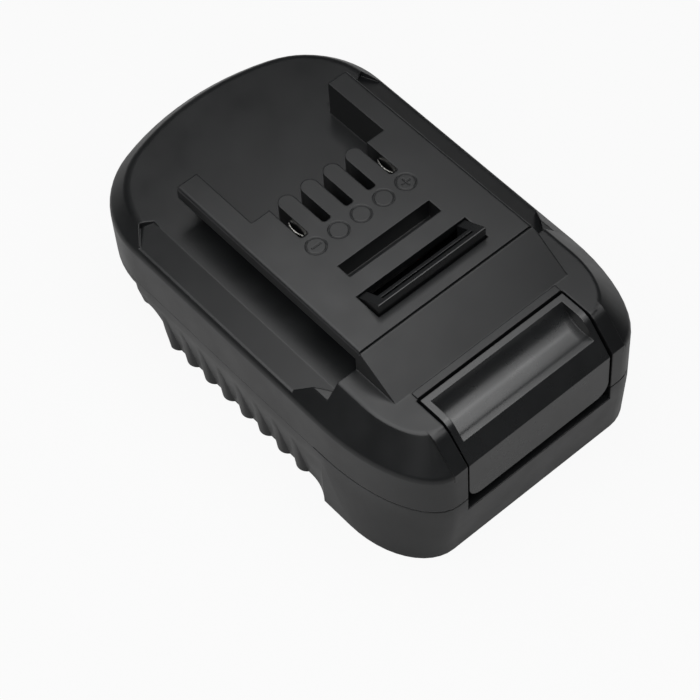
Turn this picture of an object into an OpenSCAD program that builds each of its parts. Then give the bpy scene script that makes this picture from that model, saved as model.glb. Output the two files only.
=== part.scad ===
// Slide-on battery adapter for cordless tools: a tool rail on top, a battery channel below,
// and a push-down latch at the front. Y is measured back from the front face while a piece is drawn.

/* [Body] */
// Length from the front face to the back end
body_length = 132.5; // [128:0.5:140]
// Width across the crease
body_width = 82; // [80:0.2:86]
// How far each side leans in from the crease down to the bottom
side_draft = 0.5; // [0.2:0.1:1]
// How far the front leans back at the bottom
front_lean = 2.2; // [1:0.1:3]
// Height of the crease under the slope
crease_height = 35.6; // [34.5:0.1:37]
// Height of the front deck
deck_height = 44.4; // [44:0.1:47]
// Height of the joint between the housings
joint_height = 22.1; // [21.8:0.1:23]
// Height of the plate over the battery channel
plate_height = 23.7; // [23:0.1:25]
// Width of the shadow line along the front joint
shadow_line = 0.5; // [0.3:0.1:0.8]
// Where the shadow line ends
shadow_end = 36; // [34:0.5:38]
// Wall thickness of the housings
wall = 2.4; // [2:0.1:3]
// Radii of the front corners, across and back
front_corner = [14.5, 32]; // [10:0.5:34]
// Radii of the front corners at the bottom, across and back
bottom_corner = [14, 22]; // [12:0.5:26]
// Radii of the deck's front corners, across and back
deck_corner = [9, 16.5]; // [6:0.5:18]
// Radius of the back corners
back_corner_r = 26; // [22:0.5:30]
// Radius of the back arc
back_arc_r = 72; // [64:1:84]
// Run of the slope at the sides and the back
side_slope = 7.8; // [6.5:0.1:8.5]
// Run of the slope at the front
front_slope = 8; // [6:0.1:9]
// Rounding of the crease
crease_round = 3; // [1:0.1:4]
// Rounding where the slope meets the deck
deck_round = 1.6; // [0.6:0.1:2]
// Rounding where the front slope meets the deck at the button
brow_round = 5; // [3:0.1:6]
// Rounding where the slope meets the back floor
floor_round = 3; // [1.5:0.1:4]

/* [Tool rail] */
// Height of the rail platform
platform_height = 52.3; // [51:0.1:54]
// Width of the rail platform
platform_width = 55.2; // [53:0.2:57]
// Distance of the platform's front edge from the front face
platform_front = 32.7; // [31:0.1:33.5]
// Length of the platform
platform_length = 67.3; // [66:0.1:70]
// Run of the ramp in front of the platform
ramp_run = 12.7; // [11:0.1:13]
// Step at the top of the ramp
ramp_step = 0.2; // [0.1:0.1:0.6]
// Width of the groove at the top of the ramp
ramp_gap = 0.5; // [0.3:0.1:0.8]
// Depth of that groove
ramp_groove = 0.8; // [0.4:0.1:1]
// Rounding along the platform's side edges
platform_round = 0.9; // [0.4:0.1:1.2]
// Thickness of the rail flange
flange_thickness = 4; // [3:0.1:5]
// Depth of the groove under the flange
groove_depth = 4.6; // [4:0.1:5]
// Height of the floor behind the platform
floor_height = 41; // [40.5:0.1:41.5]
// How far the side shelves lie under that floor
shelf_drop = 0.6; // [0.3:0.1:1]
// Where the shelves start
shelf_front = 34; // [33:0.1:36]
// How far the shelves run past the platform
shelf_overrun = 1; // [0.5:0.1:3]
// Run of the soft rise behind the shelves
shelf_run = 2.4; // [1:0.1:4]
// Distance of the shelves' outer edges from the middle
shelf_half = 33.5; // [32.5:0.1:34]
// Height above the crease of the ledge under the flat band
band_lift = 1.15; // [0.8:0.05:1.6]
// Width of that ledge
band_ledge = 0.5; // [0.3:0.05:0.8]
// Run of the band's slanted front end
band_front_run = 9.4; // [8:0.1:12]
// Run of the band's slanted back end
band_back_run = 3.5; // [2:0.1:5]
// How far the band runs past the shelves
band_overrun = 1.2; // [0.8:0.1:4]
// Width of the pocket behind the terminals
pocket_width = 42.6; // [41:0.2:43]
// Where the pocket starts
pocket_front = 79; // [78:0.1:81]
// Number of terminal slots
slot_count = 5; // [3:2:5]
// Distance between terminal slots
slot_pitch = 7.2; // [6.8:0.1:7.4]
// Width of a terminal slot
slot_width = 2.5; // [2.4:0.1:2.9]
// Length of a terminal slot
slot_length = 11.8; // [11:0.1:13]
// Rounding of a slot's front corners
slot_round = 0.8; // [0.4:0.1:1]
// Outer diameter of the polarity rings
ring_d = 5.4; // [4:0.1:6]
// Depth of the engraved marks
mark_depth = 0.2; // [0.15:0.05:0.4]
// Line width of the engraved marks
mark_line = 0.35; // [0.3:0.05:0.6]
// Distance of the rings in front of the slots
ring_offset = 4.1; // [3.8:0.1:6]
// Length of the cross slot
cross_slot_length = 29.2; // [26:0.2:31]
// Width of the cross slot
cross_slot_width = 4.4; // [4:0.1:5]
// Depth of the cross slot
cross_slot_depth = 6; // [4:0.1:7]
// Distance of the cross slot from the front face
cross_slot_front = 50.6; // [50:0.1:52]

/* [Latch] */
// Width of the push button
button_width = 45.5; // [42:0.1:46]
// Depth of the push button
button_depth = 16.9; // [16.5:0.1:18]
// Height of the button's lower edge
button_bottom = 21.2; // [21:0.1:22]
// How far the button lies behind the front face
button_inset = 0.2; // [0.1:0.05:0.4]
// Travel of the latch
latch_travel = 3.5; // [2:0.1:3.6]
// Gap round the button
button_gap = 0.7; // [0.4:0.05:0.9]
// Gap round the tooth and the springs
latch_gap = 0.4; // [0.3:0.05:0.7]
// Wall thickness of the button
button_wall = 2.2; // [1.8:0.1:2.6]
// Radius of the button's lower corners
button_corner_r = 4; // [2:0.2:6]
// Width of the finger dish
dish_width = 42; // [38:0.5:42]
// Radius of the finger dish
dish_r = 8.6; // [7:0.1:9]
// Distance of the dish's centre from the front face
dish_y = 7.4; // [6.5:0.1:8]
// Height of the dish's centre
dish_z = 48.2; // [47.6:0.1:48.8]
// How far the rim in front of the dish stands above its bottom
dish_rim = 0.25; // [0.1:0.05:0.4]
// Width of the frame beside the button
collar_margin = 4; // [3:0.1:5]
// How far the frame stands out of the corner slopes
collar_proud = 0.35; // [0.2:0.05:0.5]
// Width of the lock tooth
tooth_width = 34; // [30:0.2:35]
// Depth of the lock tooth
tooth_depth = 7.4; // [6.5:0.1:8]
// Distance of the lock tooth from the front face
tooth_front = 37.4; // [37:0.1:38.5]
// How far the tooth stands above the platform
tooth_rise = 3.5; // [2.5:0.1:3.5]
// Flat at the top of the tooth
tooth_flat = 0.3; // [0.2:0.1:1]
// Thickness of the tooth's front wall
tooth_wall = 1.5; // [1.2:0.1:2]
// Width of the slit behind the front wall
tooth_slit = 0.8; // [0.5:0.1:1]
// Thickness of the wall behind the slit
tooth_inner = 1.2; // [1:0.1:1.8]
// Width of the tooth's end ribs
tooth_rib = 2.6; // [2:0.1:3.5]
// How far the latch arm's lower face lies under the roof
arm_drop = 7; // [6:0.1:8]
// Thickness of the latch arm
arm_thickness = 3; // [2.5:0.1:3.5]
// How far the latch arm runs on behind the tooth
arm_overrun = 9; // [1:0.5:10]

/* [Springs] */
// Sideways place of each spring
spring_x = 16.5; // [15:0.1:17.5]
// Distance of the springs from the front face
spring_y = 24; // [23.5:0.1:25]
// Wire diameter of the springs
spring_wire = 0.8; // [0.6:0.05:1]
// Mean diameter of the springs
spring_d = 5.6; // [5.2:0.1:6]
// Turns of each spring
spring_turns = 6; // [4:1:7]
// Depth of the spring cups in the latch
cup_depth = 5.2; // [4.5:0.1:5.6]
// Height of the posts inside the springs
post_rise = 5; // [3:0.1:5.5]

/* [Grip] */
// Height of the top of the grip hollow
grip_height = 18.5; // [16:0.1:20]
// Number of grip ribs on each side
rib_count = 9; // [7:1:9]
// Distance between grip ribs
rib_pitch = 7.2; // [6.8:0.1:7.4]
// Distance of the first rib from the front face
rib_front = 45.6; // [44:0.2:47]
// Radius of a grip rib
rib_r = 2.9; // [2.4:0.1:3.3]
// How far the ribs lean in at the bottom
rib_lean = 1.6; // [1:0.1:2]
// How far the hollow behind the ribs leans in at the bottom
grip_lean = 3; // [2.4:0.1:3.4]
// Radius of the sweep from the skirt into the grip
grip_sweep_r = 13; // [8:0.5:16]
// Distance from the last but one rib to where the lower edge starts to rise
rise_gap = 0.2; // [0:0.1:2]
// Run of the rising edge
rise_run = 5; // [4:0.1:6]
// Height that the edge rises to under the last rib
rise_height = 14; // [12:0.1:16]
// Distance from the last rib to the end of the skirt
skirt_gap = 1; // [0.5:0.1:2]
// How far the back edge hangs under the channel's ceiling
back_drop = 0.9; // [0.5:0.1:1.2]

/* [Battery channel] */
// Width of the channel
channel_width = 64.5; // [62:0.1:66]
// Width between the rail lips
lip_gap = 57.5; // [55:0.1:59]
// Thickness of the rail lips
lip_thickness = 4; // [3:0.1:5]
// Height of the channel's ceiling
ceiling_height = 21.3; // [21:0.1:21.5]
// Thickness of the closed front end
front_end = 7; // [6.5:0.1:8]
// Thickness of the front end behind the button
notch_wall = 2.8; // [2:0.1:3.2]
// Size of the recess for the battery's lock
lock_recess = [18, 8, 4]; // [3:0.5:20]
// Distance of the lock recess from the back end
lock_recess_back = 27.5; // [24:0.5:32]

/* [Contacts] */
// Thickness of the clip leaves
leaf_thickness = 0.3; // [0.25:0.05:0.35]
// Bend radius of the clip leaves
leaf_r = 6; // [6:0.1:8]
// Length of the clip leaves
leaf_length = 5.6; // [5:0.1:5.8]
// Distance of the clips behind the front ends of the slots
clip_setback = 4.7; // [4:0.1:6]
// Gap in the throat of a clip
clip_throat = 0.3; // [0.2:0.05:0.4]
// How far the clips end under the platform's top
clip_drop = 2.6; // [1.5:0.1:4]
// Thickness of the contact board
board_thickness = 1.6; // [1.2:0.1:2]
// Size of the contact board
board_size = [37, 18]; // [16:0.5:38]
// Space between the contact board and the roof over it
board_gap = 2.4; // [2:0.1:3]
// Diameter of the clip pins
pin_d = 1.4; // [1:0.1:1.8]
// How far the clip pins stand out under the board
pin_reach = 1.4; // [1:0.1:2]
// Distance of each blade from the middle
blade_x = 10; // [9:0.1:11]
// Thickness of the blades
blade_thickness = 0.8; // [0.6:0.1:1]
// Height of the blades
blade_height = 6; // [5:0.1:6.5]
// How far the blades stand out of the block
blade_reach = 14; // [10:0.5:18]
// Size of the cut on the corners of a blade's tip
blade_cut = 1; // [0.5:0.1:1.4]
// Size of the terminal block
block_size = [30, 14.6, 9.8]; // [9:0.1:32]
// Diameter of the insulated leads
lead_d = 2; // [1.6:0.1:2.2]
// Bend radius of the leads under the board
lead_bend = 6; // [4:0.5:7]

/* [Screws] */
// Thread diameter of the housing screws
screw_d = 2.6; // [2.2:0.1:3]
// Head diameter of the housing screws
screw_head_d = 5.6; // [4.6:0.1:6]
// Head height of the housing screws
screw_head_h = 2; // [1.6:0.1:2.2]
// Length of the housing screws under the head
screw_length = 10; // [8:0.5:11]
// Distance of the front housing screws from the middle and the front face
front_screw = [25.6, 27]; // [24:0.1:28]
// Distance of the back housing screws from the middle and the back end
back_screw = [26, 20.5]; // [18:0.1:28]
// Diameter of the screw bosses
boss_d = 7.6; // [6.8:0.1:8]
// Thread diameter of the small screws
small_screw_d = 1.8; // [1.6:0.1:2]
// Head diameter of the small screws
small_head_d = 3.6; // [3:0.1:4]
// Head height of the small screws
small_head_h = 1.4; // [1.2:0.1:1.6]
// How far the board's screws reach into their bosses
small_screw_grip = 6; // [4:0.1:6.4]
// Play between fixed pieces
play = 0.1; // [0.05:0.01:0.15]

/* [Hidden] */
$fn = 64;
over = 1;
far = body_length * 2;

// Colours of the mouldings and metals
shell_black = "#2c2d2e";
latch_black = "#343536";
board_green = "#2f4a36";
block_cream = "#b9a77c";
nickel = "#c9c8c2";
steel = "#8d9094";
lead_black = "#1c1c1e";
lead_red = "#8e1f1c";

// Slope of the roof and the outlines along it
half_crease = body_width / 2;
slope_height = deck_height - crease_height;
draft_rate = side_draft / crease_height;
brow_angle = atan2(slope_height, front_slope);
slope_angle = atan2(slope_height, side_slope);
floor_share = (floor_height - crease_height) / slope_height;
arc_steps = 12;
round_steps = 4;

// Tool rail
platform_back = platform_front + platform_length;
neck_half = platform_width / 2 - groove_depth;
shelf_height = floor_height - shelf_drop;
shelf_back = platform_back + shelf_overrun;
deck_underside = deck_height - wall;
room_top = shelf_height - wall;
ramp_foot = platform_front - ramp_run;
ramp_top = platform_height - ramp_step;
ramp_end = platform_front - ramp_gap;
slot_front = pocket_front - slot_length;
slot_span = (slot_count - 1) * slot_pitch;
ring_y = slot_front - ring_offset;
finger_width = slot_pitch - slot_width;
finger_setback = 1;

// Band under each shelf: its ledge and its ends
band_low = crease_height + band_lift;
band_out = half_crease - band_lift / tan(slope_angle) - band_ledge;
band_front = shelf_front + band_front_run;
band_back = shelf_back + band_overrun;

// Latch
opening_half = button_width / 2 + button_gap;
opening_depth = button_depth + button_gap;
button_top = deck_height + button_inset;
button_turn = atan2(button_top - crease_height + button_inset, front_slope);
button_back_face = button_inset + button_wall;
button_clearance = 0.3;
front_lip = button_bottom - latch_travel - button_clearance;
sill_rise = 0.6;
sill_inset = 0.5;
sill_gap = 0.3;
cup_r = spring_d / 2 + spring_wire / 2 + latch_gap;
cup_wall = 1.4;
arm_bottom = room_top - arm_drop;
arm_half = spring_x + cup_r + cup_wall - 0.2;
arm_back = tooth_front + tooth_depth + arm_overrun;
arm_top = arm_bottom + arm_thickness;
tooth_back = tooth_front + tooth_depth;
tooth_top = platform_height + tooth_rise;
tooth_back_top = platform_height - 0.4;
slit_front = tooth_front + tooth_wall;
tooth_hollow = slit_front + tooth_slit + tooth_inner;
stop_gap = 0.2;
stop_rib = 2;
stop_length = 3;
stop_front = spring_y + cup_r + cup_wall + 1.2;

// Springs
spring_seat = plate_height;
spring_gap = 0.1;
spring_low = spring_seat + spring_gap + spring_wire / 2;
spring_high = arm_bottom + cup_depth - spring_gap - spring_wire / 2;
spring_rings = 8;
spring_sides = 6;
post_d = spring_d - spring_wire - 1.2;

// Lower housing
grip_top = half_crease - draft_rate * (crease_height - grip_height);
grip_valley = grip_top - grip_lean;
rib_crest = grip_top - 0.15;
rib_top = grip_height - 0.2;
grip_front = rib_front - rib_pitch / 2;
rise_front = rib_front + (rib_count - 2) * rib_pitch + rise_gap;
skirt_end = rib_front + (rib_count - 1) * rib_pitch + skirt_gap;
back_edge = ceiling_height - back_drop;
notch_depth = front_end - notch_wall;
lock_back = body_length - lock_recess_back;
lock_front = lock_back - lock_recess[1];
core_in = channel_width / 2 + 1.8;
core_width = 1.4;
core_front = front_corner[1];
core_bottom = wall + 0.4;

// Contacts
clip_x = slot_span / 2;
clip_y = slot_front + clip_setback;
clip_base = 0.7;
leaf_front = clip_y - leaf_length / 2;
leaf_back = clip_y + leaf_length / 2;
clip_half = clip_throat / 2 + leaf_thickness + leaf_length * leaf_length / (8 * leaf_r);
clip_top = platform_height - clip_drop;
board_top = room_top - board_gap;
pin_end = board_top - board_thickness - pin_reach;
board_screw_x = slot_pitch / 2;
board_boss_d = 4.4;
block_front = front_end + play;
block_back = block_front + block_size[1];
block_bottom = ceiling_height - block_size[2];
blade_mid = block_bottom + block_size[2] / 2 - 0.3;
blade_end = block_back + blade_reach;
blade_root = block_front + 4;
tail_y = block_back - 2.6;
tail_width = 2.6;
tail_top = plate_height + 2.6;
block_screw_x = 5;
block_screw_y = block_front + 5.5;
block_screw_end = block_bottom + 2.6;

// Route of a lead from its blade's tail to its clip's pin
lead_z = plate_height + lead_d / 2 + 0.3;
lead_start = tail_y + tail_width / 2;
lead_shift = clip_x - blade_x;
lead_run = clip_y - lead_start;
lead_flat = lead_run - lead_bend;
lead_steps = 8;
bend_steps = 5;
lead_sides = 8;

// Screws
back_place = [back_screw[0], body_length - back_screw[1]];
screw_places = [front_screw, back_place];
lower_boss_top = plate_height + 2.6;
screw_seat = ceiling_height + screw_head_h + 0.2;
cross_width = 0.8;
cross_depth = 1;
cross_margin = 1;
small_cross_width = 0.5;
small_cross_depth = 0.6;
small_cross_margin = 0.5;

// Points of an arc with its two radii
function arc(centre, radii, a0, a1) =
    [for (i = [0:arc_steps])
        let (a = a0 + (a1 - a0) * i / arc_steps)
        [centre[0] + radii[0] * cos(a), centre[1] + radii[1] * sin(a)]];

// Plan outline with two front corners, two back corners and a shallow back arc
function plan(half, front, back, corner, rb, ra) =
    let (yc = back - ra)
    let (bx = half - rb)
    let (by = yc + sqrt(pow(ra - rb, 2) - bx * bx))
    let (join = atan2(by - yc, bx))
    let (cx = half - corner[0], cy = front + corner[1])
    concat(arc([cx, cy], corner, -90, 0),
           arc([bx, by], [rb, rb], 0, join),
           arc([0, yc], [ra, ra], join, 180 - join),
           arc([-bx, by], [rb, rb], 180 - join, 180),
           arc([-cx, cy], corner, 180, 270));

// Half width of the walls at a height under the crease
function half_at(z) = half_crease - draft_rate * (crease_height - z);

// Share of the front's lean at a height
function lean_at(z) = max(0, 1 - z / front_lip);

// Outline of the walls at a height, drawn in by an inset
function wall_plan(z, inset) =
    let (corner = front_corner + (bottom_corner - front_corner) * lean_at(z))
    plan(half_at(z) - inset, front_lean * lean_at(z) + inset, body_length - inset,
         corner - [inset, inset], back_corner_r - inset, back_arc_r - inset);

// Outline of the roof at a share of the slope
function roof_plan(share, inset) =
    let (corner = front_corner + (deck_corner - front_corner) * share)
    let (run = side_slope * share + inset)
    plan(half_at(crease_height) - run, front_slope * share + inset, body_length - run,
         corner - [inset, inset], back_corner_r - run, back_arc_r - run);

// Roof rings that round the slope into a flat at a height
function roof_rings(top, radius) =
    let (flat = side_slope * (top - crease_height) / slope_height + radius * tan(slope_angle / 2))
    [for (i = [0:round_steps])
        let (a = slope_angle * (1 - i / round_steps))
        [roof_plan((flat - radius * sin(a)) / side_slope, 0), top - radius * (1 - cos(a))]];

// Roof rings that round the walls into the slope
function crease_rings() =
    let (turn = 90 - slope_angle)
    let (start = crease_height - crease_round * tan(turn / 2))
    [for (i = [0:round_steps])
        let (a = turn * i / round_steps)
        [roof_plan(crease_round * (1 - cos(a)) / side_slope, 0), start + crease_round * sin(a)]];

// Arc that rounds a slope into a flat at the corner between them
function brow(y, z, turn) =
    arc([y + brow_round * tan(turn / 2), z - brow_round], [brow_round, brow_round], 90 + turn, 90);

// Solid through a stack of rings, each an outline and its height
module loft(rings) {
    n = len(rings[0][0]);
    top = (len(rings) - 1) * n;
    points = [for (ring = rings) for (p = ring[0]) [p[0], p[1], ring[1]]];
    sides = [for (k = [0:len(rings) - 2]) for (i = [0:n - 1])
        let (a = k * n + i, b = k * n + (i + 1) % n)
        each [[a, b + n, b], [a, a + n, b + n]]];
    caps = [for (i = [1:n - 2]) each [[0, i, i + 1], [top, top + i + 1, top + i]]];
    polyhedron(points, concat(caps, sides));
}

// Tube along a path that starts backward and ends upward
module tube(path, d, sides) {
    last = len(path) - 1;
    points = [for (i = [0:last])
        let (step = path[min(i + 1, last)] - path[max(i - 1, 0)])
        let (along = (i == 0 ? [0, 1, 0] : i == last ? [0, 0, 1] : step / norm(step)))
        let (up = cross([1, 0, 0], along) / norm(cross([1, 0, 0], along)))
        let (side = cross(along, up))
        for (j = [0:sides - 1])
            path[i] + d / 2 * (cos(360 * j / sides) * side + sin(360 * j / sides) * up)];
    skin = [for (i = [0:last - 1]) for (j = [0:sides - 1])
        let (a = i * sides + j, b = i * sides + (j + 1) % sides)
        each [[a, b, b + sides], [a, b + sides, a + sides]]];
    end = last * sides;
    caps = [for (j = [1:sides - 2]) each [[0, j + 1, j], [end, end + j, end + j + 1]]];
    polyhedron(points, concat(skin, caps));
}

// Middle of a spring's wire at a ring
function coil_centre(i) =
    let (share = i / (spring_rings * spring_turns))
    [spring_d / 2 * cos(360 * i / spring_rings), spring_d / 2 * sin(360 * i / spring_rings),
     spring_low + (spring_high - spring_low) * share];

// Coil spring: one unbroken helical tube between two heights
module coil() {
    last = spring_rings * spring_turns;
    points = [for (i = [0:last]) for (j = [0:spring_sides - 1])
        let (out = [cos(360 * i / spring_rings), sin(360 * i / spring_rings), 0])
        let (a = 360 * j / spring_sides)
        coil_centre(i) + spring_wire / 2 * (cos(a) * out + [0, 0, sin(a)])];
    skin = [for (i = [0:last - 1]) for (j = [0:spring_sides - 1])
        let (a = i * spring_sides + j, b = i * spring_sides + (j + 1) % spring_sides)
        each [[a, b + spring_sides, b], [a, a + spring_sides, b + spring_sides]]];
    end = last * spring_sides;
    caps = [for (j = [1:spring_sides - 2]) each [[0, j, j + 1], [end, end + j + 1, end + j]]];
    polyhedron(points, concat(skin, caps));
}

coil_gap = min([for (i = [0:spring_rings * (spring_turns - 1)])
                norm(coil_centre(i + spring_rings) - coil_centre(i))]) - spring_wire;
echo(spring_self_gap = coil_gap);

// Puts the origin in the middle of the length
module seat() {
    translate([0, -body_length / 2, 0]) children();
}

// Extrudes a back-and-up outline across the width
module across(width) {
    rotate([90, 0, 90]) translate([0, 0, -width / 2]) linear_extrude(width) children();
}

// A box centred across the width
module block(width, y0, y1, z0, z1) {
    translate([-width / 2, y0, z0]) cube([width, y1 - y0, z1 - z0]);
}

// Both sides of a piece drawn on the right
module both() {
    children();
    mirror([1, 0, 0]) children();
}

// Outer form of the upper housing in front of and behind the shelf step
module roof() {
    walls = concat([[wall_plan(joint_height, 0), joint_height]], crease_rings());
    intersection() {
        loft(concat(walls, roof_rings(deck_height, deck_round)));
        block(far, -over, shelf_front, 0, far);
    }
    intersection() {
        loft(concat(walls, roof_rings(floor_height, floor_round)));
        block(far, shelf_front, far, 0, far);
    }
}

// Hollow under the roof
module room() {
    loft([[wall_plan(joint_height, wall), joint_height - over],
          [roof_plan(0, wall), crease_height - wall / 2],
          [roof_plan(floor_share, wall), room_top]]);
    intersection() {
        loft([[roof_plan(0, wall), crease_height - wall], [roof_plan(1, wall), deck_underside]]);
        block(far, -over, shelf_front - wall, 0, far);
    }
}

// Rail platform with the ramp in front of it
module platform() {
    side = platform_width / 2 - platform_round;
    corner = [platform_round, platform_round];
    intersection() {
        across(platform_width) polygon([[ramp_foot, deck_height], [ramp_end, ramp_top],
            [ramp_end, ramp_top - ramp_groove], [platform_front, ramp_top - ramp_groove],
            [platform_front, platform_height], [platform_back, platform_height],
            [platform_back, room_top], [ramp_foot, room_top]]);
        translate([0, far, 0]) rotate([90, 0, 0]) linear_extrude(2 * far)
            polygon(concat(arc([side, platform_height - platform_round], corner, 0, 90),
                           arc([-side, platform_height - platform_round], corner, 90, 180),
                           [[-platform_width / 2, 0], [platform_width / 2, 0]]));
    }
}

// Hollow inside the platform, over the latch arm
module platform_room() {
    room_back = slot_front - 2 * wall;
    ceiling = platform_height - wall;
    across(2 * (neck_half - wall)) polygon([[ramp_foot + wall, room_top - over],
        [ramp_foot + wall, deck_underside], [platform_front + wall / 2, ceiling],
        [room_back, ceiling], [room_back, room_top - over]]);
}

// Frame round the button, a little proud of the corner slopes
module collar() {
    rise = collar_proud / cos(brow_angle);
    across(2 * (opening_half + collar_margin)) polygon(concat(
        [[0, crease_height - wall], [0, crease_height + rise]],
        brow(front_slope - rise / tan(brow_angle), deck_height, brow_angle),
        [[opening_depth + wall, deck_height], [opening_depth + wall, deck_underside],
         [front_slope, deck_underside], [wall, crease_height - wall]]));
}

// Groove under each rail flange, with the shelf beside it and a soft rise behind
module rail_grooves() {
    flange_low = platform_height - flange_thickness;
    rise_end = shelf_back + shelf_run;
    foot = [[shelf_front, shelf_height], [shelf_back, shelf_height], [rise_end, floor_height]];
    both() translate([neck_half + groove_depth, 0, 0]) across(2 * groove_depth)
        polygon(concat(foot, [[rise_end, flange_low], [shelf_front, flange_low]]));
    both() translate([(platform_width + far) / 2, 0, 0]) across(far)
        polygon(concat(foot, [[rise_end, far], [shelf_front, far]]));
}

// Flat band let into each side slope, from a narrow ledge up to the shelf, with slanted ends
module slope_bands() {
    both() intersection() {
        translate([0, far, 0]) rotate([90, 0, 0]) linear_extrude(far)
            polygon([[far, band_low], [band_out, band_low], [shelf_half, shelf_height],
                     [shelf_half, far], [far, far]]);
        linear_extrude(far) polygon([[shelf_half, shelf_front], [band_out, band_front],
            [half_crease, band_front], [half_crease, band_back], [band_out, band_back],
            [(band_out + shelf_half) / 2, band_back + band_back_run], [shelf_half, shelf_back + shelf_run]]);
    }
}

// Terminal slots with round-ended fingers between them, and the pocket behind
module terminal_slots() {
    tip = [finger_width / 2, finger_width / 2];
    tip_y = pocket_front - finger_setback;
    corner = [slot_round, slot_round];
    side = slot_width / 2 - slot_round;
    for (i = [0:slot_count - 1])
        translate([-slot_span / 2 + i * slot_pitch, 0, floor_height]) linear_extrude(far)
            polygon(concat(arc([-side, slot_front + slot_round], corner, 180, 270),
                           arc([side, slot_front + slot_round], corner, 270, 360),
                           [[slot_width / 2, tip_y + over], [-slot_width / 2, tip_y + over]]));
    difference() {
        union() {
            block(slot_span + slot_width, tip_y, pocket_front + over, floor_height, far);
            block(pocket_width, pocket_front, platform_back + over, floor_height, far);
        }
        for (i = [0:slot_count - 2])
            translate([-slot_span / 2 + (i + 0.5) * slot_pitch, 0, 0]) linear_extrude(platform_height)
                polygon(concat([[-tip[0], tip_y - over], [tip[0], tip_y - over]],
                               arc([0, tip_y], tip, 0, 180)));
    }
}

// Engraved ring in front of each slot, with a minus and a plus in the outer two
module polarity_marks() {
    low = platform_height - mark_depth;
    for (i = [0:slot_count - 1])
        translate([-slot_span / 2 + i * slot_pitch, ring_y, low]) difference() {
            cylinder(d = ring_d, h = over);
            translate([0, 0, -over]) cylinder(d = ring_d - 2 * mark_line, h = 3 * over);
        }
    for (side = [-1, 1])
        translate([side * slot_span / 2 - ring_d / 4, ring_y - mark_line / 2, low])
            cube([ring_d / 2, mark_line, over]);
    translate([slot_span / 2 - mark_line / 2, ring_y - ring_d / 4, low])
        cube([mark_line, ring_d / 2, over]);
}

// Guide walls beside the button, stop ribs over the latch arm, bosses and the cross slot's box
module upper_inner() {
    both() translate([opening_half + wall / 2, 0, 0]) across(wall)
        polygon([[wall / 2, plate_height], [wall / 2, crease_height],
                 [front_slope + wall / 2, deck_underside + wall / 2],
                 [opening_depth, deck_underside + wall / 2], [opening_depth, plate_height]]);
    both() translate([neck_half - wall - stop_rib, stop_front, arm_top + stop_gap])
        cube([stop_rib + wall / 2, stop_length, deck_height - arm_top]);
    block(cross_slot_length + 2 * wall, cross_slot_front - wall, cross_slot_front + cross_slot_width + wall,
          platform_height - cross_slot_depth - wall, platform_height - wall / 2);
    both() translate([front_screw[0], front_screw[1], lower_boss_top])
        cylinder(d = boss_d, h = deck_underside + wall / 2 - lower_boss_top);
    both() translate([back_place[0], back_place[1], lower_boss_top])
        cylinder(d = boss_d, h = room_top + wall / 2 - lower_boss_top);
    both() translate([board_screw_x, clip_y, board_top])
        cylinder(d = board_boss_d, h = room_top + wall - board_top);
}

// Shadow line along the front part of the joint
module shadow_groove() {
    difference() {
        block(far, -over, shadow_end, joint_height - over, joint_height + shadow_line);
        linear_extrude(far) polygon(wall_plan(joint_height, shadow_line));
    }
}

module upper_housing() {
    color(shell_black) seat() difference() {
        union() {
            difference() {
                union() {
                    roof();
                    platform();
                    collar();
                }
                room();
                platform_room();
            }
            upper_inner();
            block(2 * (opening_half - sill_inset), opening_depth, ramp_foot - sill_gap, deck_underside,
                  deck_height + sill_rise);
        }
        block(2 * opening_half, -over, opening_depth, 0, far);
        block(tooth_width + 2 * latch_gap, tooth_front - latch_gap, tooth_back + latch_gap,
              platform_height - 2 * wall, far);
        rail_grooves();
        slope_bands();
        terminal_slots();
        for (side = [-1, 1])
            translate([side * clip_x, 0, 0])
                block(slot_width, leaf_front - play, leaf_back + play, room_top - over, far);
        block(cross_slot_length, cross_slot_front, cross_slot_front + cross_slot_width,
              platform_height - cross_slot_depth, far);
        polarity_marks();
        for (p = screw_places)
            both() translate([p[0], p[1], lower_boss_top - over])
                cylinder(d = screw_d + 2 * play, h = screw_length + over);
        both() translate([board_screw_x, clip_y, board_top - over])
            cylinder(d = small_screw_d + 2 * play, h = small_screw_grip + 2 * over);
        shadow_groove();
    }
}

// Hollow in each side of the skirt, behind the ribs
module grip_hollow() {
    both() intersection() {
        translate([grip_top, 0, grip_height]) rotate([0, atan2(grip_lean, grip_height), 0])
            translate([0, 0, -2 * grip_height]) cube([far, far, 2 * grip_height]);
        linear_extrude(far) polygon(concat([[grip_valley - over, far], [grip_valley - over, grip_front]],
            arc([grip_valley + grip_sweep_r, grip_front], [grip_sweep_r, grip_sweep_r], 180, 240),
            [[far, far]]));
    }
}

// Round ribs that stand in the hollow and fade out at its top
module grip_ribs() {
    intersection() {
        for (i = [0:rib_count - 1])
            both() translate([rib_crest - rib_r, rib_front + i * rib_pitch, rib_top])
                rotate([0, atan2(rib_lean, grip_height), 0])
                translate([0, 0, -2 * grip_height]) cylinder(r = rib_r, h = 3 * grip_height);
        difference() {
            block(body_width, 0, body_length, 0, rib_top);
            block(channel_width, 0, body_length, -over, far);
        }
    }
}

// Space under the lower edge, which rises behind the ribs and again at the end of the skirt
module back_rise() {
    across(far) polygon(concat([[rise_front, -over]],
        arc([rise_front + rise_run, 0], [rise_run, rise_height], 180, 90),
        [[skirt_end, rise_height], [skirt_end + over, back_edge], [far, back_edge], [far, -over]]));
}

// Space for the battery between the rail lips
module battery_channel() {
    block(lip_gap, front_end, far, -over, ceiling_height);
    block(channel_width, front_end, far, lip_thickness, ceiling_height);
}

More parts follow.
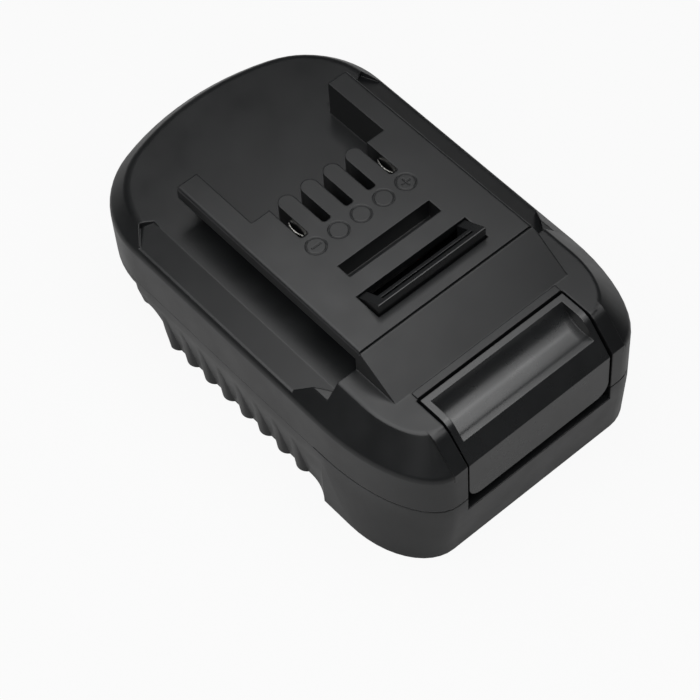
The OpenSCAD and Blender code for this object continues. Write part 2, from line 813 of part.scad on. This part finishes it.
module lower_housing() {
    color(shell_black) seat() difference() {
        union() {
            difference() {
                loft([[wall_plan(0, 0), 0], [wall_plan(front_lip, 0), front_lip],
                      [wall_plan(joint_height, 0), joint_height]]);
                grip_hollow();
            }
            grip_ribs();
            translate([0, 0, ceiling_height]) linear_extrude(plate_height - ceiling_height)
                polygon(wall_plan(joint_height, wall + play));
            for (p = screw_places)
                both() translate([p[0], p[1], ceiling_height])
                    cylinder(d = boss_d, h = lower_boss_top - ceiling_height);
            both() translate([spring_x, spring_y, ceiling_height])
                cylinder(d = post_d, h = spring_seat + post_rise - ceiling_height);
            block(lock_recess[0] + 2 * wall, lock_front - wall, lock_back + wall, ceiling_height,
                  ceiling_height + lock_recess[2] + wall);
        }
        battery_channel();
        back_rise();
        block(2 * opening_half, -over, notch_depth, front_lip, far);
        both() translate([core_in, core_front, core_bottom])
            cube([core_width, rise_front - wall - core_front, far]);
        block(lock_recess[0], lock_front, lock_back, 0, ceiling_height + lock_recess[2]);
        for (p = screw_places)
            both() translate([p[0], p[1], 0]) {
                cylinder(d = screw_head_d + 4 * play, h = screw_seat);
                cylinder(d = screw_d + 2 * play, h = far);
            }
        for (side = [-1, 1])
            translate([side * blade_x, 0, 0])
                block(blade_thickness + 2 * play, tail_y - tail_width / 2 - play,
                      tail_y + tail_width / 2 + play, 0, far);
        both() translate([block_screw_x, block_screw_y, 0]) cylinder(d = small_screw_d + 2 * play, h = far);
    }
}

// Push button: a shell with a finger dish and round lower corners
module button() {
    lift = button_bottom + button_corner_r;
    side = button_width / 2 - button_corner_r;
    difference() {
        across(button_width) polygon(concat(
            [[button_inset, button_bottom], [button_inset, crease_height - button_inset]],
            brow(front_slope + button_inset, button_top, button_turn),
            [[button_depth, button_top], [button_depth, arm_bottom],
             [button_back_face, arm_bottom], [button_back_face, button_bottom]]));
        block(button_width - 2 * button_wall, button_back_face, button_depth - button_wall, 0, crease_height);
        block(dish_width, -over, dish_y, dish_z - dish_r + dish_rim, far);
        translate([-dish_width / 2, dish_y, dish_z]) rotate([0, 90, 0]) cylinder(r = dish_r, h = dish_width);
        both() difference() {
            translate([side, -over, button_bottom - over])
                cube([button_corner_r + over, button_wall + 2 * over, button_corner_r + over]);
            translate([side, -2 * over, lift]) rotate([-90, 0, 0])
                cylinder(r = button_corner_r, h = button_wall + 4 * over);
        }
    }
}

// Lock tooth: a wedge between two end ribs, with a slit behind its front wall and a hollow at the back
module tooth() {
    hollow_width = tooth_width - 2 * tooth_rib;
    difference() {
        across(tooth_width) polygon([[tooth_front, arm_bottom], [tooth_front, tooth_top],
            [tooth_front + tooth_flat, tooth_top], [tooth_back, tooth_back_top], [tooth_back, arm_bottom]]);
        block(hollow_width, slit_front, slit_front + tooth_slit, arm_top, far);
        block(hollow_width, tooth_hollow, tooth_back + over, arm_top, far);
    }
}

module release_latch() {
    color(latch_black) seat() difference() {
        union() {
            button();
            tooth();
            block(2 * arm_half, button_depth - over, arm_back, arm_bottom, arm_top);
            both() translate([spring_x, spring_y, arm_bottom])
                cylinder(r = cup_r + cup_wall, h = cup_depth + cup_wall);
        }
        both() translate([spring_x, spring_y, arm_bottom - over]) cylinder(r = cup_r, h = cup_depth + over);
    }
}

module latch_spring(side) {
    color(steel) seat() translate([side * spring_x, spring_y, 0]) coil();
}

module contact_board() {
    color(board_green) seat() difference() {
        block(board_size[0], clip_y - board_size[1] / 2, clip_y + board_size[1] / 2,
              board_top - board_thickness, board_top);
        both() translate([clip_x, clip_y, 0]) cylinder(d = pin_d + 2 * play, h = far);
        both() translate([board_screw_x, clip_y, 0]) cylinder(d = small_screw_d + 2 * play, h = far);
    }
}

// Clip: two bowed leaves on a base with a pin through the board
module clip() {
    both() intersection() {
        translate([clip_throat / 2 + leaf_thickness + leaf_r, clip_y, board_top]) difference() {
            cylinder(r = leaf_r + leaf_thickness, h = clip_top - board_top, $fn = 128);
            translate([0, 0, -over]) cylinder(r = leaf_r, h = far, $fn = 128);
        }
        block(2 * (clip_half + over), leaf_front, leaf_back, board_top, clip_top);
    }
    block(2 * clip_half, leaf_front, leaf_back, board_top, board_top + clip_base);
    translate([0, clip_y, pin_end]) cylinder(d = pin_d, h = board_top + clip_base / 2 - pin_end);
}

module terminal_clip(side) {
    color(nickel) seat() translate([side * clip_x, 0, 0]) clip();
}

// Small screw with a cross recess, head downward
module small_screw(length) {
    reach = small_head_d - 2 * small_cross_margin;
    cylinder(d = small_screw_d, h = length);
    translate([0, 0, -small_head_h]) difference() {
        cylinder(d = small_head_d, h = small_head_h);
        translate([-reach / 2, -small_cross_width / 2, -over])
            cube([reach, small_cross_width, over + small_cross_depth]);
        translate([-small_cross_width / 2, -reach / 2, -over])
            cube([small_cross_width, reach, over + small_cross_depth]);
    }
}

module board_screws() {
    color(steel) seat() both() translate([board_screw_x, clip_y, board_top - board_thickness])
        small_screw(board_thickness + small_screw_grip);
}

module terminal_block() {
    color(block_cream) seat() difference() {
        block(block_size[0], block_front, block_back, block_bottom, ceiling_height);
        for (side = [-1, 1])
            translate([side * blade_x, 0, 0]) {
                block(blade_thickness + 2 * play, blade_root - play, far, blade_mid - blade_height / 2 - play,
                      blade_mid + blade_height / 2 + play);
                block(blade_thickness + 2 * play, tail_y - tail_width / 2 - play,
                      tail_y + tail_width / 2 + play, blade_mid, far);
            }
        both() translate([block_screw_x, block_screw_y, block_screw_end - play])
            cylinder(d = small_screw_d + 2 * play, h = far);
    }
}

module blade(side) {
    tip = blade_cut * sqrt(2);
    color(nickel) seat() translate([side * blade_x, 0, 0]) {
        difference() {
            block(blade_thickness, blade_root, blade_end, blade_mid - blade_height / 2,
                  blade_mid + blade_height / 2);
            for (flip = [-1, 1])
                translate([0, blade_end, blade_mid + flip * blade_height / 2]) rotate([45, 0, 0])
                    cube([2 * blade_thickness, tip, tip], center = true);
        }
        block(blade_thickness, tail_y - tail_width / 2, tail_y + tail_width / 2, blade_mid, tail_top);
    }
}

module block_screws() {
    color(steel) seat() both() translate([block_screw_x, block_screw_y, plate_height]) rotate([180, 0, 0])
        small_screw(plate_height - block_screw_end);
}

// Lead: back along the floor, then up to the pin under the board
module lead(side, tint) {
    flat = [for (i = [0:lead_steps])
        let (share = i / lead_steps)
        [side * lead_shift * (1 - cos(180 * share)) / 2, lead_flat * share, 0]];
    bend = [for (i = [1:bend_steps])
        let (a = 90 * i / bend_steps)
        [side * lead_shift, lead_flat + lead_bend * sin(a), lead_bend * (1 - cos(a))]];
    color(tint) seat() translate([side * blade_x, lead_start, lead_z])
        tube(concat(flat, bend, [[side * lead_shift, lead_run, pin_end - lead_z]]), lead_d, lead_sides);
}

module housing_screws() {
    reach = screw_head_d - 2 * cross_margin;
    color(steel) seat() for (p = screw_places)
        both() translate([p[0], p[1], screw_seat]) {
            cylinder(d = screw_d, h = screw_length);
            translate([0, 0, -screw_head_h]) difference() {
                cylinder(d = screw_head_d, h = screw_head_h);
                translate([-reach / 2, -cross_width / 2, -over])
                    cube([reach, cross_width, over + cross_depth]);
                translate([-cross_width / 2, -reach / 2, -over])
                    cube([cross_width, reach, over + cross_depth]);
            }
        }
}

upper_housing();
lower_housing();
release_latch();
latch_spring(-1);  // latch_spring_left
latch_spring(1);  // latch_spring_right
contact_board();
terminal_clip(-1);  // negative_clip
terminal_clip(1);  // positive_clip
board_screws();
terminal_block();
blade(-1);  // negative_blade
blade(1);  // positive_blade
block_screws();
lead(-1, lead_black);  // negative_lead
lead(1, lead_red);  // positive_lead
housing_screws();
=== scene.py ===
import math

import bmesh
import bpy
from mathutils import Matrix, Vector


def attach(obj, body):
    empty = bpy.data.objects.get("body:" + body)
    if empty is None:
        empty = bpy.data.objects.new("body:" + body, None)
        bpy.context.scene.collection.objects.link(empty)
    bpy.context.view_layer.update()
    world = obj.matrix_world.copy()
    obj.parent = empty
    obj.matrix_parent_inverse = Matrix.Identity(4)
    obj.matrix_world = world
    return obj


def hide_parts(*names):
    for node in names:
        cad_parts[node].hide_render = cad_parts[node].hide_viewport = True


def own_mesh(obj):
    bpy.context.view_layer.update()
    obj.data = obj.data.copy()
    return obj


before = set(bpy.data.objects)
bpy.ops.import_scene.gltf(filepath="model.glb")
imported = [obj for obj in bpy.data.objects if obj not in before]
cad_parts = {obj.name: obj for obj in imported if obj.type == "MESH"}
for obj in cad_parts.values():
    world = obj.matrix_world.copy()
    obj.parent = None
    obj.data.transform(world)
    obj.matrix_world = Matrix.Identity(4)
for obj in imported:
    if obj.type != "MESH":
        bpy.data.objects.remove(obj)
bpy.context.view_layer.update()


# Camera: a long lens in front of the left corner, well above the adapter, turned a little
# about its own axis so that the push button points to the lower right.
camera_aim = Vector((-0.0189, -0.0191, 0.03))
camera_distance = 0.6264
camera_bearing = math.radians(232.48)
camera_lift = math.radians(54.5)
camera_roll = math.radians(-4.43)
camera_back = Vector((
    math.cos(camera_lift) * math.cos(camera_bearing),
    math.cos(camera_lift) * math.sin(camera_bearing),
    math.sin(camera_lift),
))
camera_data = bpy.data.cameras.new("camera")
camera_data.lens = 132.79
camera_data.sensor_width = 36
camera = bpy.data.objects.new("camera", camera_data)
camera_turn = camera_back.to_track_quat("Z", "Y").to_matrix().to_4x4()
camera.matrix_world = (
    Matrix.Translation(camera_aim + camera_back * camera_distance)
    @ camera_turn
    @ Matrix.Rotation(camera_roll, 4, "Z")
)
bpy.context.collection.objects.link(camera)
bpy.context.scene.camera = camera


# Lower housing: the skirt that the battery slides into, with grip ribs down both sides.
# One injection moulding in black PC-ABS. The mould breaks every edge a little, and its
# spark-eroded faces leave a fine satin grain on the outside.
MM = 0.001
smooth_turn = math.radians(25)
flat_turn = math.radians(0.4)
weld_gap = 0.002 * MM
cloud_low = 0.35
cloud_high = 0.65

# Sockets of a colour mix: its first and second colour, and what comes out.
mix_first = 6
mix_second = 7
mix_result = 2


def new_object(name, mesh):
    piece = bpy.data.objects.new(name, mesh)
    bpy.context.collection.objects.link(piece)
    return piece


def clean_copy(node, name):
    """Copy of a node with its flat faces joined up, shaded flat there and smooth round curves."""
    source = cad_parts[node].data
    mesh = bpy.data.meshes.new(name)
    mesh.from_pydata([v.co for v in source.vertices], [], [p.vertices for p in source.polygons])
    form = bmesh.new()
    form.from_mesh(mesh)
    bmesh.ops.remove_doubles(form, verts=form.verts, dist=weld_gap)
    bmesh.ops.dissolve_limit(form, angle_limit=flat_turn, verts=form.verts, edges=form.edges)
    for face in form.faces:
        face.smooth = True
    for edge in form.edges:
        edge.smooth = edge.calc_face_angle(math.pi) < smooth_turn
    form.to_mesh(mesh)
    form.free()
    piece = new_object(name, mesh)
    normals = piece.modifiers.new("flat_faces", "WEIGHTED_NORMAL")
    normals.keep_sharp = True
    return piece


def linear(hex_colour):
    channels = [int(hex_colour[i:i + 2], 16) / 255 for i in (1, 3, 5)]
    return [c / 12.92 if c <= 0.04045 else ((c + 0.055) / 1.055) ** 2.4 for c in channels] + [1]


def add(tree, kind, values=None, links=None, **settings):
    """Adds a node with its settings, socket values and links, each a node and an output."""
    node = tree.nodes.new(kind)
    for name, value in settings.items():
        setattr(node, name, value)
    for name, value in (values or {}).items():
        node.inputs[name].default_value = value
    for name, (other, output) in (links or {}).items():
        tree.links.new(other.outputs[output], node.inputs[name])
    return node


def new_material(name):
    material = bpy.data.materials.new(name)
    material.use_nodes = True
    return material, material.node_tree, material.node_tree.nodes["Principled BSDF"]


def cloudy_colour(tree, shader, place, deep, pale, size):
    """Mixes two near colours in soft clouds of the size given in millimetres."""
    clouds = add(tree, "ShaderNodeTexNoise", {"Scale": 1 / (size * MM), "Detail": 2},
                 {"Vector": (place, "Object")})
    spread = add(tree, "ShaderNodeMapRange", {"From Min": cloud_low, "From Max": cloud_high},
                 {"Value": (clouds, "Fac")})
    tint = add(tree, "ShaderNodeMix", {mix_first: linear(deep), mix_second: linear(pale)},
               {"Factor": (spread, "Result")}, data_type="RGBA")
    tree.links.new(tint.outputs[mix_result], shader.inputs["Base Color"])
    return tint


def uneven_gloss(tree, shader, place, low, high, size):
    """Lets the roughness drift between two values over patches of the size given in millimetres."""
    drift = add(tree, "ShaderNodeTexNoise", {"Scale": 1 / (size * MM), "Detail": 3},
                {"Vector": (place, "Object")})
    gloss = add(tree, "ShaderNodeMapRange",
                {"From Min": cloud_low, "From Max": cloud_high, "To Min": low, "To Max": high},
                {"Value": (drift, "Fac")})
    tree.links.new(gloss.outputs["Result"], shader.inputs["Roughness"])


def grain(tree, shader, place, size, height, edge):
    """Raises a fine grain of a size and height on edges broken to a radius, all in millimetres."""
    grit = add(tree, "ShaderNodeTexNoise", {"Scale": 1 / (size * MM), "Detail": 2},
               {"Vector": (place, "Object")})
    broken = add(tree, "ShaderNodeBevel", {"Radius": edge * MM}, samples=6)
    bump = add(tree, "ShaderNodeBump", {"Distance": height * MM, "Strength": 1},
               {"Height": (grit, "Fac"), "Normal": (broken, "Normal")})
    tree.links.new(bump.outputs["Normal"], shader.inputs["Normal"])


# Black PC-ABS from a spark-eroded mould: near black in itself, it shows mostly a soft satin
# reflection. The grain, about 0.1 mm on the real one, is drawn at 0.5 mm so that it shows.
pc_abs, tree, shader = new_material("black_pc_abs_spark_eroded")
place = add(tree, "ShaderNodeTexCoord")
cloudy_colour(tree, shader, place, deep="#101112", pale="#151617", size=14)
uneven_gloss(tree, shader, place, low=0.29, high=0.35, size=9)
grain(tree, shader, place, size=0.5, height=0.004, edge=0.45)
shader.inputs["IOR"].default_value = 1.5

lower_housing = clean_copy("lower_housing", "skirt")
lower_housing.data.materials.append(pc_abs)
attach(lower_housing, "housing")
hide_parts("lower_housing")


# Terminal block: holds the two blades that reach into the battery. Moulded in cream PBT with
# short glass fibres, which leave pale flecks in a dull surface.
pbt, tree, shader = new_material("cream_pbt_glass_filled")
place = add(tree, "ShaderNodeTexCoord")
cloudy_colour(tree, shader, place, deep="#b9a877", pale="#c9ba8c", size=1.2)
uneven_gloss(tree, shader, place, low=0.5, high=0.62, size=4)
grain(tree, shader, place, size=0.4, height=0.006, edge=0.3)
shader.inputs["IOR"].default_value = 1.57

terminal_block = clean_copy("terminal_block", "blade_carrier")
terminal_block.data.materials.append(pbt)
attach(terminal_block, "housing")
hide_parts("terminal_block")


# Blades: stamped from 0.8 mm brass strip with a chamfered tip, then nickel plated. Each sits in
# a slot of the block, and its tail comes up through the skirt's ceiling.
line_gap = 0.15 * MM
line_length = 3 * MM
line_depth = 0.0008 * MM
strip_edge = 0.1 * MM

# Nickel over rolled strip: a warm grey mirror, softened along the rolling direction by lines
# that are really 0.02 mm apart and drawn at 0.15 mm.
nickel, tree, shader = new_material("nickel_plated_brass_rolled")
place = add(tree, "ShaderNodeTexCoord")
cloudy_colour(tree, shader, place, deep="#c6c4bf", pale="#dedcd7", size=3)
stretch = add(tree, "ShaderNodeMapping", {"Scale": (1 / line_gap, 1 / line_gap, 1 / line_length)},
              {"Vector": (place, "Object")})
lines = add(tree, "ShaderNodeTexNoise", {"Scale": 1, "Detail": 2}, {"Vector": (stretch, "Vector")})
pressed = add(tree, "ShaderNodeBevel", {"Radius": strip_edge}, samples=6)
rolled = add(tree, "ShaderNodeBump", {"Distance": line_depth, "Strength": 1},
             {"Height": (lines, "Fac"), "Normal": (pressed, "Normal")})
tree.links.new(rolled.outputs["Normal"], shader.inputs["Normal"])
uneven_gloss(tree, shader, place, low=0.16, high=0.28, size=2)
shader.inputs["Metallic"].default_value = 1

for node, name in (("negative_blade", "minus_blade"), ("positive_blade", "plus_blade")):
    blade = clean_copy(node, name)
    blade.data.materials.append(nickel)
    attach(blade, "housing")
    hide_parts(node)


# Block screws: two small cross-head screws of zinc-plated steel, driven from above through the
# ceiling into the terminal block.
# Zinc plating: a cool grey with a slight blue cast, and a fine grain.
zinc, tree, shader = new_material("zinc_plated_steel")
place = add(tree, "ShaderNodeTexCoord")
cloudy_colour(tree, shader, place, deep="#9ea3a8", pale="#bcc1c6", size=1.5)
uneven_gloss(tree, shader, place, low=0.28, high=0.42, size=1)
grain(tree, shader, place, size=0.25, height=0.004, edge=0.25)
shader.inputs["Metallic"].default_value = 1

block_screws = clean_copy("block_screws", "block_screw_pair")
block_screws.data.materials.append(zinc)
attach(block_screws, "housing")
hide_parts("block_screws")


# Leads: two short lengths of insulated wire, 2 mm over the sleeve, that lie on the ceiling from
# the blade tails and turn up to the pins under the contact board.
lead_radius = 1 * MM
lead_height = 25 * MM
lead_front = -45.85 * MM
lead_back = 5.65 * MM
lead_top = 32.6 * MM
lead_bend = 6 * MM
tail_side = 10 * MM
pin_side = 14.4 * MM
flat_steps = 24
bend_steps = 8


def wire(name, route, radius, sides):
    """Round tube along a route, closed at both ends."""
    form = bmesh.new()
    rings = []
    side = None
    for i, point in enumerate(route):
        along = (route[min(i + 1, len(route) - 1)] - route[max(i - 1, 0)]).normalized()
        side = along.orthogonal() if side is None else side - along * side.dot(along)
        side.normalize()
        up = along.cross(side)
        ring = []
        for j in range(sides):
            turn = 2 * math.pi * j / sides
            outward = math.cos(turn) * side + math.sin(turn) * up
            ring.append(form.verts.new(point + radius * outward))
        rings.append(ring)
    for ring, after in zip(rings, rings[1:]):
        for j in range(sides):
            k = (j + 1) % sides
            form.faces.new((ring[j], ring[k], after[k], after[j])).smooth = True
    form.faces.new(list(reversed(rings[0])))
    form.faces.new(rings[-1])
    mesh = bpy.data.meshes.new(name)
    form.to_mesh(mesh)
    form.free()
    return new_object(name, mesh)


def lead_route(side):
    flat_length = lead_back - lead_front - lead_bend
    route = []
    for i in range(flat_steps + 1):
        share = i / flat_steps
        sway = (1 - math.cos(math.pi * share)) / 2
        route.append(Vector((side * (tail_side + (pin_side - tail_side) * sway),
                             lead_front + flat_length * share, lead_height)))
    for i in range(1, bend_steps + 1):
        turn = math.pi / 2 * i / bend_steps
        route.append(Vector((side * pin_side, lead_back - lead_bend * (1 - math.sin(turn)),
                             lead_height + lead_bend * (1 - math.cos(turn)))))
    route.append(Vector((side * pin_side, lead_back, lead_top)))
    return route


# Plasticised PVC sleeve: a soft sheen, with faint streaks from the extruder.
for side, name, node, slot, deep, pale in (
        (-1, "minus_wire", "negative_lead", "black_lead", "#161617", "#202021"),
        (1, "plus_wire", "positive_lead", "red_lead", "#8c1512", "#a11d18")):
    pvc, tree, shader = new_material("pvc_sleeve_" + slot)
    place = add(tree, "ShaderNodeTexCoord")
    cloudy_colour(tree, shader, place, deep, pale, size=5)
    uneven_gloss(tree, shader, place, low=0.36, high=0.48, size=3)
    grain(tree, shader, place, size=0.8, height=0.004, edge=0.1)
    shader.inputs["IOR"].default_value = 1.53
    lead = wire(name, lead_route(side), lead_radius, sides=16)
    lead.data.materials.append(pvc)
    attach(lead, "housing")
    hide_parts(node)


# Latch springs: open coils of 0.8 mm music wire, each on a post of the ceiling and up inside a
# cup of the latch. The real ones shorten as the latch goes down; these are drawn at one length.
spring_side = 16.5 * MM
spring_back = -42.25 * MM
spring_foot = 23.85 * MM
spring_top = 36.05 * MM
spring_mean = 2.8 * MM
spring_wire = 0.4 * MM
spring_turns = 6
turn_steps = 20


def coil_route(side):
    steps = turn_steps * spring_turns
    low = spring_foot + spring_wire
    high = spring_top - spring_wire
    route = []
    for i in range(steps + 1):
        turn = 2 * math.pi * i / turn_steps
        route.append(Vector((side * spring_side + spring_mean * math.cos(turn),
                             spring_back + spring_mean * math.sin(turn),
                             low + (high - low) * i / steps)))
    return route


# Drawn spring steel: bright grey with a slightly oily sheen.
spring_steel, tree, shader = new_material("drawn_spring_steel")
place = add(tree, "ShaderNodeTexCoord")
cloudy_colour(tree, shader, place, deep="#8f9296", pale="#a9acb0", size=2)
uneven_gloss(tree, shader, place, low=0.24, high=0.36, size=1.5)
grain(tree, shader, place, size=0.3, height=0.003, edge=0.05)
shader.inputs["Metallic"].default_value = 1

for side, name, node in (
        (-1, "left_coil", "latch_spring_left"),
        (1, "right_coil", "latch_spring_right")):
    coil = wire(name, coil_route(side), spring_wire, sides=12)
    coil.data.materials.append(spring_steel)
    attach(coil, "housing")
    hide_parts(node)
    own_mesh(coil)


# Release latch: the push button with its thumb dish, and behind it the lock tooth that comes up
# through the rail. One moulding in black acetal, which slides well against the housing.
# Acetal from a polished mould: glossier than the housing, with a slightly waxy face. Its IOR is
# raised from a typical 1.48 to the sheen of the button.
acetal, tree, shader = new_material("black_acetal_polished")
place = add(tree, "ShaderNodeTexCoord")
cloudy_colour(tree, shader, place, deep="#131415", pale="#18191a", size=11)
uneven_gloss(tree, shader, place, low=0.26, high=0.3, size=7)
grain(tree, shader, place, size=0.6, height=0.0006, edge=0.25)
shader.inputs["IOR"].default_value = 1.66

release_latch = clean_copy("release_latch", "push_latch")
release_latch.data.materials.append(acetal)
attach(release_latch, "latch")
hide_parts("release_latch")


# Contact board: a 1.6 mm glass-epoxy board under the rail, with a hole for each clip's pin and
# two screw holes. Green solder mask with tinned rings round the pins.
board_pin = Vector((pin_side, lead_back, 0))
pad_radius = 1.7 * MM

# Solder mask over woven glass: a thin glossy lacquer, with the 0.4 mm weave just showing.
solder_mask, tree, shader = new_material("green_solder_mask_on_glass_epoxy")
place = add(tree, "ShaderNodeTexCoord")
mask_tint = cloudy_colour(tree, shader, place, deep="#1d4a2b", pale="#245634", size=3)
mirrored = add(tree, "ShaderNodeVectorMath", None, {0: (place, "Object")}, operation="ABSOLUTE")
level = add(tree, "ShaderNodeVectorMath", {1: (1, 1, 0)}, {0: (mirrored, 0)}, operation="MULTIPLY")
from_pin = add(tree, "ShaderNodeVectorMath", {1: board_pin}, {0: (level, 0)}, operation="DISTANCE")
pad = add(tree, "ShaderNodeMath", {1: pad_radius}, {0: (from_pin, "Value")}, operation="LESS_THAN")
tinned = add(tree, "ShaderNodeMix", {mix_second: linear("#b9bbb8")},
             {"Factor": (pad, 0), mix_first: (mask_tint, mix_result)}, data_type="RGBA")
tree.links.new(tinned.outputs[mix_result], shader.inputs["Base Color"])
tree.links.new(pad.outputs[0], shader.inputs["Metallic"])
uneven_gloss(tree, shader, place, low=0.22, high=0.34, size=3)
grain(tree, shader, place, size=0.4, height=0.006, edge=0.1)

contact_board = clean_copy("contact_board", "contact_card")
contact_board.data.materials.append(solder_mask)
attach(contact_board, "housing")
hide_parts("contact_board")


# Contact clips: two bowed leaves of nickel-plated spring brass on a base, soldered into the
# board. The tool's blade spreads the leaves as it comes down through the slot.
for node, name in (("negative_clip", "minus_clip"), ("positive_clip", "plus_clip")):
    clip = clean_copy(node, name)
    clip.data.materials.append(nickel)
    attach(clip, "housing")
    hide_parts(node)


# Board screws: two small cross-head screws of zinc-plated steel, driven from below through the
# contact board into bosses under the rail.
board_screws = clean_copy("board_screws", "board_screw_pair")
board_screws.data.materials.append(zinc)
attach(board_screws, "housing")
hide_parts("board_screws")


# Upper housing: the roof with the tool rail, its contact slots and engraved polarity rings.
# A second moulding in the same black PC-ABS, set down on the skirt over the latch and the board.
upper_housing = clean_copy("upper_housing", "roof_and_rail")
upper_housing.data.materials.append(pc_abs)
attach(upper_housing, "housing")
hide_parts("upper_housing")


# Housing screws: four cross-head screws of zinc-plated steel that join the two mouldings from
# below, with their heads sunk in counterbores of the skirt's ceiling.
housing_screws = clean_copy("housing_screws", "housing_screw_set")
housing_screws.data.materials.append(zinc)
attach(housing_screws, "housing")
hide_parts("housing_screws")


# Floor: a wide sheet of matt pale grey paper. The camera sees it as nearly white, and faces that
# mirror it see it only a little lighter than it is, so that the black walls stay dark.
floor_half = 2
floor_cells = 8
floor_gap = 0.05 * MM
camera_share = 0.93
mirror_share = 0.1
floor_form = bmesh.new()
bmesh.ops.create_grid(floor_form, x_segments=floor_cells, y_segments=floor_cells, size=floor_half)
floor_mesh = bpy.data.meshes.new("paper_floor")
floor_form.to_mesh(floor_mesh)
floor_form.free()
floor = new_object("paper_floor", floor_mesh)
floor.location.z = -floor_gap
paper, tree, shader = new_material("matt_pale_paper")
place = add(tree, "ShaderNodeTexCoord")
cloudy_colour(tree, shader, place, deep="#a8a8a8", pale="#acacac", size=40)
uneven_gloss(tree, shader, place, low=0.85, high=0.95, size=20)
grain(tree, shader, place, size=0.5, height=0.01, edge=0.1)
shader.inputs["Specular IOR Level"].default_value = 0.1
ray = add(tree, "ShaderNodeLightPath")
mirror = add(tree, "ShaderNodeMath", None,
             {0: (ray, "Is Glossy Ray"), 1: (ray, "Is Transmission Ray")}, operation="MAXIMUM")
dimmed = add(tree, "ShaderNodeMath", {1: mirror_share}, {0: (mirror, 0)}, operation="MULTIPLY")
plain = add(tree, "ShaderNodeMath", {1: camera_share}, {0: (ray, "Is Camera Ray")}, operation="MULTIPLY")
lifted = add(tree, "ShaderNodeMath", None, {0: (plain, 0), 1: (dimmed, 0)}, operation="MAXIMUM")
white = add(tree, "ShaderNodeEmission", {"Strength": 1})
mixed = add(tree, "ShaderNodeMixShader", None, {0: (lifted, 0), 1: (shader, 0), 2: (white, 0)})
tree.links.new(mixed.outputs[0], tree.nodes["Material Output"].inputs["Surface"])
floor.data.materials.append(paper)


# Studio light: a big softbox flat overhead, set mostly to the left, and a narrow strip over the
# front right that adds to it, in a dim room. The top faces take a soft sheen, and the thumb dish
# shows the strip as a line.
def softbox(name, place, width, depth, radiance):
    """Area lamp that faces down, at a plain radiance whatever its size."""
    lamp_data = bpy.data.lights.new(name, "AREA")
    lamp_data.shape = "RECTANGLE"
    lamp_data.size = width
    lamp_data.size_y = depth
    lamp_data.energy = radiance * math.pi * width * depth
    lamp = bpy.data.objects.new(name, lamp_data)
    lamp.location = place
    bpy.context.collection.objects.link(lamp)


softbox("overhead_softbox", place=(-0.175, -0.06, 0.4), width=0.75, depth=0.6, radiance=2.35)
softbox("strip_light", place=(0.13, -0.115, 0.38), width=0.24, depth=0.04, radiance=2.4)

world = bpy.data.worlds.new("grey_room")
world.use_nodes = True
world.node_tree.nodes["Background"].inputs["Color"].default_value = linear("#4a4a4a")
world.node_tree.nodes["Background"].inputs["Strength"].default_value = 1
bpy.context.scene.world = world
bpy.context.scene.view_settings.view_transform = "Standard"
